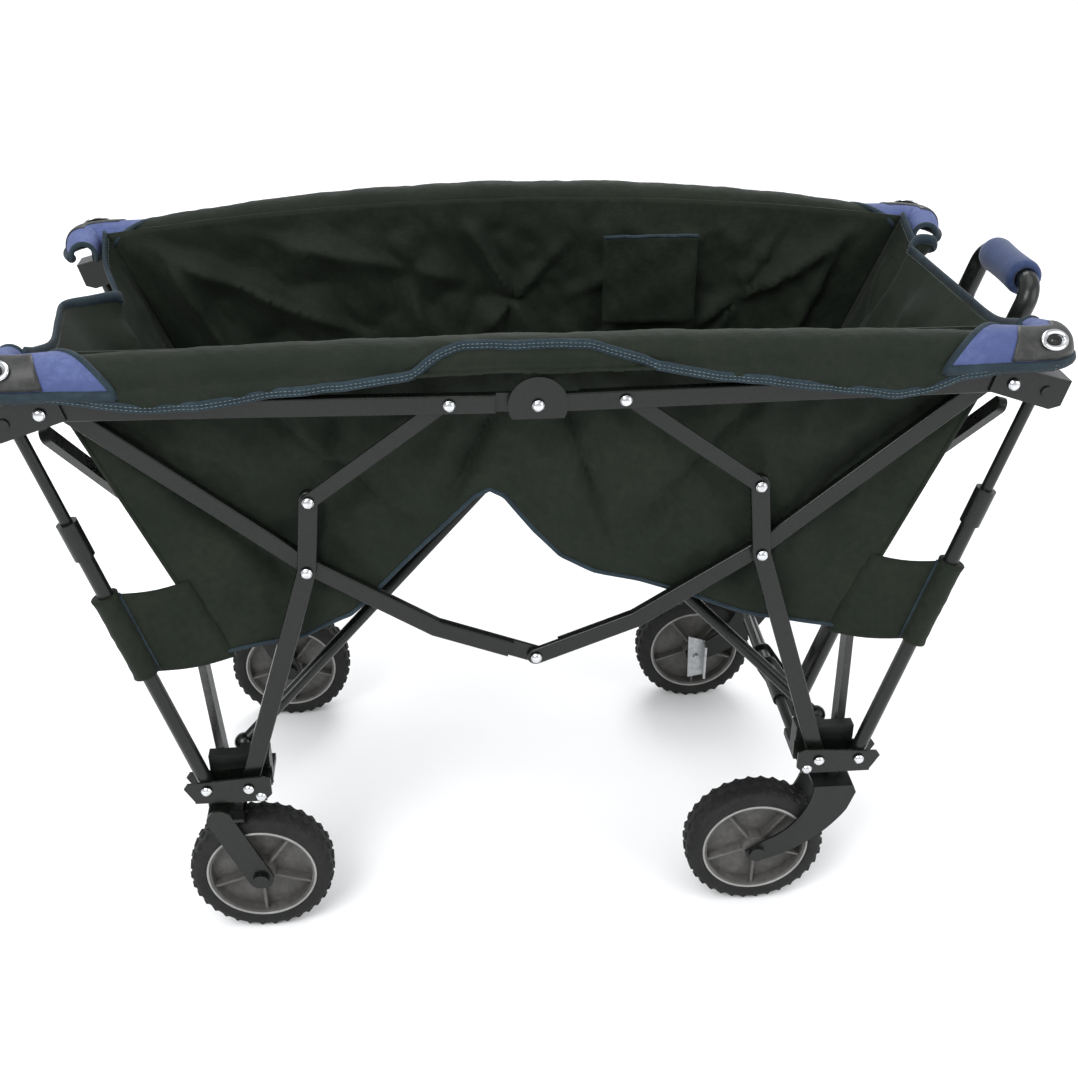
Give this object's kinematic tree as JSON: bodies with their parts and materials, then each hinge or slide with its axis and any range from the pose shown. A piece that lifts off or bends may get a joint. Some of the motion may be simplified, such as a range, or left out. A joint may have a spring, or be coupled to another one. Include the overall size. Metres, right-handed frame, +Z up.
{
  "type": "folding utility wagon",
  "caption": "Four-way folding utility wagon: steel frame on telescoping posts, fabric bag, casters in front and a pull handle.",
  "frame": {"origin": "on the floor under the middle of the side frames", "axes": "+X to the front, where the handle is; +Y to the wagon's left; +Z up"},
  "size_m": [1.0515, 0.4602, 0.71],
  "materials": {
    "black_paint": "glossy black paint",
    "black_plastic": "satin moulded plastic",
    "bag_fabric": "coated polyester cloth",
    "tyre": "matte tread",
    "rim_plastic": "satin grey",
    "foam": "soft navy foam",
    "zinc": "zinc plated"
  },
  "bodies": {
    "hub_rear_right_body": {"hub_rear_right": "black_paint", "casting_rear_right": "black_plastic", "fork_rear_right": "black_paint"},
    "wheel_rear_right_body": {"tyre_rear_right": "tyre", "rim_rear_right": "rim_plastic"},
    "post_rear_right_body": {"post_rear_right": "black_paint"},
    "bracket_rear_right_body": {"bracket_rear_right": "black_paint"},
    "rail_rear_right_body": {"rail_rear_right": "black_paint"},
    "link_rear_right_body": {"link_rear_right": "black_paint"},
    "leg_rear_right_body": {"leg_rear_right": "black_paint"},
    "diagonal_rear_right_body": {"diagonal_rear_right": "black_paint"},
    "end_bar_rear_right_body": {"end_bar_rear_right": "black_paint"},
    "floor_bar_rear_right_body": {"floor_bar_rear_right": "black_paint"},
    "hub_rear_left_body": {"hub_rear_left": "black_paint", "casting_rear_left": "black_plastic", "fork_rear_left": "black_paint"},
    "wheel_rear_left_body": {"tyre_rear_left": "tyre", "rim_rear_left": "rim_plastic"},
    "post_rear_left_body": {"post_rear_left": "black_paint"},
    "bracket_rear_left_body": {"bracket_rear_left": "black_paint"},
    "rail_rear_left_body": {"rail_rear_left": "black_paint"},
    "link_rear_left_body": {"link_rear_left": "black_paint"},
    "leg_rear_left_body": {"leg_rear_left": "black_paint"},
    "diagonal_rear_left_body": {"diagonal_rear_left": "black_paint"},
    "end_bar_rear_left_body": {"end_bar_rear_left": "black_paint"},
    "floor_bar_rear_left_body": {"floor_bar_rear_left": "black_paint"},
    "hub_front_right_body": {"hub_front_right": "black_paint", "casting_front_right": "black_plastic"},
    "wheel_front_right_body": {"tyre_front_right": "tyre", "rim_front_right": "rim_plastic"},
    "post_front_right_body": {"post_front_right": "black_paint"},
    "bracket_front_right_body": {"bracket_front_right": "black_paint"},
    "rail_front_right_body": {"rail_front_right": "black_paint"},
    "link_front_right_body": {"link_front_right": "black_paint"},
    "leg_front_right_body": {"leg_front_right": "black_paint"},
    "diagonal_front_right_body": {"diagonal_front_right": "black_paint"},
    "end_bar_front_right_body": {"end_bar_front_right": "black_paint"},
    "floor_bar_front_right_body": {"floor_bar_front_right": "black_paint"},
    "caster_front_right_body": {"fork_front_right": "black_paint"},
    "hub_front_left_body": {"hub_front_left": "black_paint", "casting_front_left": "black_plastic"},
    "wheel_front_left_body": {"tyre_front_left": "tyre", "rim_front_left": "rim_plastic"},
    "post_front_left_body": {"post_front_left": "black_paint"},
    "bracket_front_left_body": {"bracket_front_left": "black_paint"},
    "rail_front_left_body": {"rail_front_left": "black_paint"},
    "link_front_left_body": {"link_front_left": "black_paint"},
    "leg_front_left_body": {"leg_front_left": "black_paint"},
    "diagonal_front_left_body": {"diagonal_front_left": "black_paint"},
    "end_bar_front_left_body": {"end_bar_front_left": "black_paint"},
    "floor_bar_front_left_body": {"floor_bar_front_left": "black_paint"},
    "caster_front_left_body": {"fork_front_left": "black_paint"},
    "floor_hub_body": {"middle_hub": "black_plastic", "bag": "bag_fabric"},
    "handle_mount_body": {"handle_mount": "black_paint"},
    "handle_cheeks_body": {"handle_cheeks": "black_paint"},
    "handle_tube_body": {"handle_tube": "black_paint"},
    "handle_loop_body": {"handle_loop": "black_paint", "handle_grip": "foam"},
    "brake_body": {"brake_plate_left": "zinc"}
  },
  "joints": [
    {"name": "fold_across", "type": "slide", "parent": "hub_rear_right_body", "child": "hub_rear_left_body", "axis": [0, -1, 0], "range_m": [0, 0.11693]},
    {"name": "post_lean_rear_right", "type": "hinge", "parent": "hub_rear_right_body", "child": "post_rear_right_body", "pos_m": [-0.3565, -0.205, 0.2026], "axis": [0, 1, 0], "range_deg": [-9.84, 0]},
    {"name": "post_slide_rear_right", "type": "slide", "parent": "post_rear_right_body", "child": "bracket_rear_right_body", "axis": [-0.277, 0, 0.9609], "range_m": [0, 0.07622]},
    {"name": "fold", "type": "hinge", "parent": "bracket_rear_right_body", "child": "rail_rear_right_body", "pos_m": [-0.45, -0.216, 0.6517], "axis": [0, 1, 0], "range_deg": [0, 42.36]},
    {"name": "rail_middle_right", "type": "hinge", "parent": "rail_rear_right_body", "child": "rail_front_right_body", "pos_m": [0, -0.216, 0.6455], "axis": [0, 1, 0], "range_deg": [-65.08, 0]},
    {"name": "bracket_front_right_turn", "type": "hinge", "parent": "rail_front_right_body", "child": "bracket_front_right_body", "pos_m": [0.45, -0.216, 0.6517], "axis": [0, 1, 0], "range_deg": [0, 42.37]},
    {"name": "post_slide_front_right", "type": "slide", "parent": "bracket_front_right_body", "child": "post_front_right_body", "axis": [-0.277, 0, -0.9609], "range_m": [0, 0.07622]},
    {"name": "post_lean_front_right", "type": "hinge", "parent": "post_front_right_body", "child": "hub_front_right_body", "pos_m": [0.3565, -0.205, 0.2026], "axis": [0, 1, 0], "range_deg": [-9.84, 0]},
    {"name": "leg_turn_rear_right", "type": "hinge", "parent": "hub_rear_right_body", "child": "leg_rear_right_body", "pos_m": [-0.3119, -0.202, 0.2026], "axis": [0, 1, 0], "range_deg": [-32.16, 0]},
    {"name": "diagonal_turn_rear_right", "type": "hinge", "parent": "leg_rear_right_body", "child": "diagonal_rear_right_body", "pos_m": [-0.2287, -0.202, 0.4648], "axis": [0, 1, 0], "range_deg": [0, 44.16]},
    {"name": "link_turn_rear_right", "type": "hinge", "parent": "rail_rear_right_body", "child": "link_rear_right_body", "pos_m": [-0.0822, -0.216, 0.64663], "axis": [0, 1, 0], "range_deg": [0, 19.17]},
    {"name": "end_bar_turn_rear_right", "type": "hinge", "parent": "post_rear_right_body", "child": "end_bar_rear_right_body", "pos_m": [-0.34275, -0.172, 0.2253], "axis": [0.9609, 0, 0.277], "range_deg": [0, 15.21]},
    {"name": "floor_bar_turn_rear_right", "type": "hinge", "parent": "hub_rear_right_body", "child": "floor_bar_rear_right_body", "pos_m": [-0.32, -0.163, 0.225], "axis": [0.4409, -0.8976, 0], "range_deg": [0, 33.3]},
    {"name": "wheel_spin_rear_right", "type": "hinge", "parent": "hub_rear_right_body", "child": "wheel_rear_right_body", "pos_m": [-0.31, -0.2, 0.08], "axis": [0, 1, 0], "continuous": true},
    {"name": "leg_turn_front_right", "type": "hinge", "parent": "hub_front_right_body", "child": "leg_front_right_body", "pos_m": [0.3119, -0.202, 0.2026], "axis": [0, 1, 0], "range_deg": [0, 32.16]},
    {"name": "diagonal_turn_front_right", "type": "hinge", "parent": "leg_front_right_body", "child": "diagonal_front_right_body", "pos_m": [0.2287, -0.202, 0.4648], "axis": [0, 1, 0], "range_deg": [-44.16, 0]},
    {"name": "link_turn_front_right", "type": "hinge", "parent": "rail_front_right_body", "child": "link_front_right_body", "pos_m": [0.0822, -0.216, 0.64663], "axis": [0, 1, 0], "range_deg": [-19.17, 0]},
    {"name": "end_bar_turn_front_right", "type": "hinge", "parent": "post_front_right_body", "child": "end_bar_front_right_body", "pos_m": [0.34275, -0.172, 0.2253], "axis": [0.9609, 0, -0.277], "range_deg": [0, 15.21]},
    {"name": "floor_bar_turn_front_right", "type": "hinge", "parent": "hub_front_right_body", "child": "floor_bar_front_right_body", "pos_m": [0.32, -0.163, 0.225], "axis": [0.4409, 0.8976, 0], "range_deg": [0, 33.3]},
    {"name": "caster_swivel_right", "type": "hinge", "parent": "hub_front_right_body", "child": "caster_front_right_body", "pos_m": [0.334, -0.2, 0.17], "axis": [0, 0, -1], "continuous": true},
    {"name": "wheel_spin_front_right", "type": "hinge", "parent": "caster_front_right_body", "child": "wheel_front_right_body", "pos_m": [0.25, -0.2, 0.08], "axis": [0, 1, 0], "continuous": true},
    {"name": "post_lean_rear_left", "type": "hinge", "parent": "hub_rear_left_body", "child": "post_rear_left_body", "pos_m": [-0.3565, 0.205, 0.2026], "axis": [0, 1, 0], "range_deg": [-9.84, 0]},
    {"name": "post_slide_rear_left", "type": "slide", "parent": "post_rear_left_body", "child": "bracket_rear_left_body", "axis": [-0.277, 0, 0.9609], "range_m": [0, 0.07622]},
    {"name": "rail_rear_left_turn", "type": "hinge", "parent": "bracket_rear_left_body", "child": "rail_rear_left_body", "pos_m": [-0.45, 0.216, 0.6517], "axis": [0, 1, 0], "range_deg": [0, 42.37]},
    {"name": "rail_middle_left", "type": "hinge", "parent": "rail_rear_left_body", "child": "rail_front_left_body", "pos_m": [0, 0.216, 0.6455], "axis": [0, 1, 0], "range_deg": [-65.08, 0]},
    {"name": "bracket_front_left_turn", "type": "hinge", "parent": "rail_front_left_body", "child": "bracket_front_left_body", "pos_m": [0.45, 0.216, 0.6517], "axis": [0, 1, 0], "range_deg": [0, 42.37]},
    {"name": "post_slide_front_left", "type": "slide", "parent": "bracket_front_left_body", "child": "post_front_left_body", "axis": [-0.277, 0, -0.9609], "range_m": [0, 0.07622]},
    {"name": "post_lean_front_left", "type": "hinge", "parent": "post_front_left_body", "child": "hub_front_left_body", "pos_m": [0.3565, 0.205, 0.2026], "axis": [0, 1, 0], "range_deg": [-9.84, 0]},
    {"name": "leg_turn_rear_left", "type": "hinge", "parent": "hub_rear_left_body", "child": "leg_rear_left_body", "pos_m": [-0.3119, 0.202, 0.2026], "axis": [0, 1, 0], "range_deg": [-32.16, 0]},
    {"name": "diagonal_turn_rear_left", "type": "hinge", "parent": "leg_rear_left_body", "child": "diagonal_rear_left_body", "pos_m": [-0.2287, 0.202, 0.4648], "axis": [0, 1, 0], "range_deg": [0, 44.16]},
    {"name": "link_turn_rear_left", "type": "hinge", "parent": "rail_rear_left_body", "child": "link_rear_left_body", "pos_m": [-0.0822, 0.216, 0.64663], "axis": [0, 1, 0], "range_deg": [0, 19.17]},
    {"name": "end_bar_turn_rear_left", "type": "hinge", "parent": "post_rear_left_body", "child": "end_bar_rear_left_body", "pos_m": [-0.35236, 0.172, 0.22253], "axis": [-0.9609, 0, -0.277], "range_deg": [0, 15.21]},
    {"name": "floor_bar_turn_rear_left", "type": "hinge", "parent": "hub_rear_left_body", "child": "floor_bar_rear_left_body", "pos_m": [-0.32, 0.163, 0.225], "axis": [-0.4409, -0.8976, 0], "range_deg": [0, 33.3]},
    {"name": "wheel_spin_rear_left", "type": "hinge", "parent": "hub_rear_left_body", "child": "wheel_rear_left_body", "pos_m": [-0.31, 0.2, 0.08], "axis": [0, 1, 0], "continuous": true},
    {"name": "leg_turn_front_left", "type": "hinge", "parent": "hub_front_left_body", "child": "leg_front_left_body", "pos_m": [0.3119, 0.202, 0.2026], "axis": [0, 1, 0], "range_deg": [0, 32.16]},
    {"name": "diagonal_turn_front_left", "type": "hinge", "parent": "leg_front_left_body", "child": "diagonal_front_left_body", "pos_m": [0.2287, 0.202, 0.4648], "axis": [0, 1, 0], "range_deg": [-44.16, 0]},
    {"name": "link_turn_front_left", "type": "hinge", "parent": "rail_front_left_body", "child": "link_front_left_body", "pos_m": [0.0822, 0.216, 0.64663], "axis": [0, 1, 0], "range_deg": [-19.17, 0]},
    {"name": "end_bar_turn_front_left", "type": "hinge", "parent": "post_front_left_body", "child": "end_bar_front_left_body", "pos_m": [0.35236, 0.172, 0.22253], "axis": [-0.9609, 0, 0.277], "range_deg": [0, 15.21]},
    {"name": "floor_bar_turn_front_left", "type": "hinge", "parent": "hub_front_left_body", "child": "floor_bar_front_left_body", "pos_m": [0.32, 0.163, 0.225], "axis": [-0.4409, 0.8976, 0], "range_deg": [0, 33.3]},
    {"name": "caster_swivel_left", "type": "hinge", "parent": "hub_front_left_body", "child": "caster_front_left_body", "pos_m": [0.334, 0.2, 0.17], "axis": [0, 0, 1], "continuous": true},
    {"name": "wheel_spin_front_left", "type": "hinge", "parent": "caster_front_left_body", "child": "wheel_front_left_body", "pos_m": [0.25, 0.2, 0.08], "axis": [0, 1, 0], "continuous": true},
    {"name": "floor_hub_level", "type": "hinge", "parent": "floor_bar_rear_right_body", "child": "floor_hub_body", "pos_m": [-0.035, -0.023, 0.47], "axis": [0.4409, -0.8976, 0], "range_deg": [-33.3, 0], "deforming": ["bag"]},
    {"name": "handle_centring", "type": "slide", "parent": "hub_front_right_body", "child": "handle_mount_body", "axis": [0, -1, 0], "range_m": [0, 0.05847]},
    {"name": "handle_follow", "type": "hinge", "parent": "handle_mount_body", "child": "handle_cheeks_body", "pos_m": [0.3, 0, 0.19], "axis": [0, 1, 0], "range_deg": [0, 9.84]},
    {"name": "handle_tilt", "type": "hinge", "parent": "handle_cheeks_body", "child": "handle_tube_body", "pos_m": [0.345, 0, 0.121], "axis": [0, 1, 0], "range_deg": [0, 70]},
    {"name": "handle_extend", "type": "slide", "parent": "handle_tube_body", "child": "handle_loop_body", "axis": [0.3024, 0, 0.9532], "range_m": [0, 0.22]},
    {"name": "brake_turn", "type": "hinge", "parent": "caster_front_left_body", "child": "brake_body", "pos_m": [0.25, 0.17, 0.08], "axis": [0, 1, 0], "range_deg": [0, 18]}
  ],
  "couplings": [
    {"joint": "fold_across", "follows": "fold", "m_per_rad": 0.15814},
    {"joint": "post_lean_rear_right", "follows": "fold", "ratio": -0.23199},
    {"joint": "post_slide_rear_right", "follows": "fold", "m_per_rad": 0.10307},
    {"joint": "rail_middle_right", "follows": "fold", "ratio": -1.536},
    {"joint": "bracket_front_right_turn", "follows": "fold", "ratio": 1},
    {"joint": "post_slide_front_right", "follows": "fold", "m_per_rad": 0.10307},
    {"joint": "post_lean_front_right", "follows": "fold", "ratio": -0.23199},
    {"joint": "leg_turn_rear_right", "follows": "fold", "ratio": -0.75888},
    {"joint": "diagonal_turn_rear_right", "follows": "fold", "ratio": 1.0422},
    {"joint": "link_turn_rear_right", "follows": "fold", "ratio": 0.4522},
    {"joint": "end_bar_turn_rear_right", "follows": "fold", "ratio": 0.35885},
    {"joint": "floor_bar_turn_rear_right", "follows": "fold", "ratio": 0.78584},
    {"joint": "leg_turn_front_right", "follows": "fold", "ratio": 0.75888},
    {"joint": "diagonal_turn_front_right", "follows": "fold", "ratio": -1.0422},
    {"joint": "link_turn_front_right", "follows": "fold", "ratio": -0.4522},
    {"joint": "end_bar_turn_front_right", "follows": "fold", "ratio": 0.35885},
    {"joint": "floor_bar_turn_front_right", "follows": "fold", "ratio": 0.78584},
    {"joint": "post_lean_rear_left", "follows": "fold", "ratio": -0.23199},
    {"joint": "post_slide_rear_left", "follows": "fold", "m_per_rad": 0.10307},
    {"joint": "rail_rear_left_turn", "follows": "fold", "ratio": 1},
    {"joint": "rail_middle_left", "follows": "fold", "ratio": -1.536},
    {"joint": "bracket_front_left_turn", "follows": "fold", "ratio": 1},
    {"joint": "post_slide_front_left", "follows": "fold", "m_per_rad": 0.10307},
    {"joint": "post_lean_front_left", "follows": "fold", "ratio": -0.23199},
    {"joint": "leg_turn_rear_left", "follows": "fold", "ratio": -0.75888},
    {"joint": "diagonal_turn_rear_left", "follows": "fold", "ratio": 1.0422},
    {"joint": "link_turn_rear_left", "follows": "fold", "ratio": 0.4522},
    {"joint": "end_bar_turn_rear_left", "follows": "fold", "ratio": 0.35885},
    {"joint": "floor_bar_turn_rear_left", "follows": "fold", "ratio": 0.78584},
    {"joint": "leg_turn_front_left", "follows": "fold", "ratio": 0.75888},
    {"joint": "diagonal_turn_front_left", "follows": "fold", "ratio": -1.0422},
    {"joint": "link_turn_front_left", "follows": "fold", "ratio": -0.4522},
    {"joint": "end_bar_turn_front_left", "follows": "fold", "ratio": 0.35885},
    {"joint": "floor_bar_turn_front_left", "follows": "fold", "ratio": 0.78584},
    {"joint": "floor_hub_level", "follows": "fold", "ratio": -0.78584},
    {"joint": "handle_centring", "follows": "fold", "m_per_rad": 0.07907},
    {"joint": "handle_follow", "follows": "fold", "ratio": 0.23199}
  ]
}
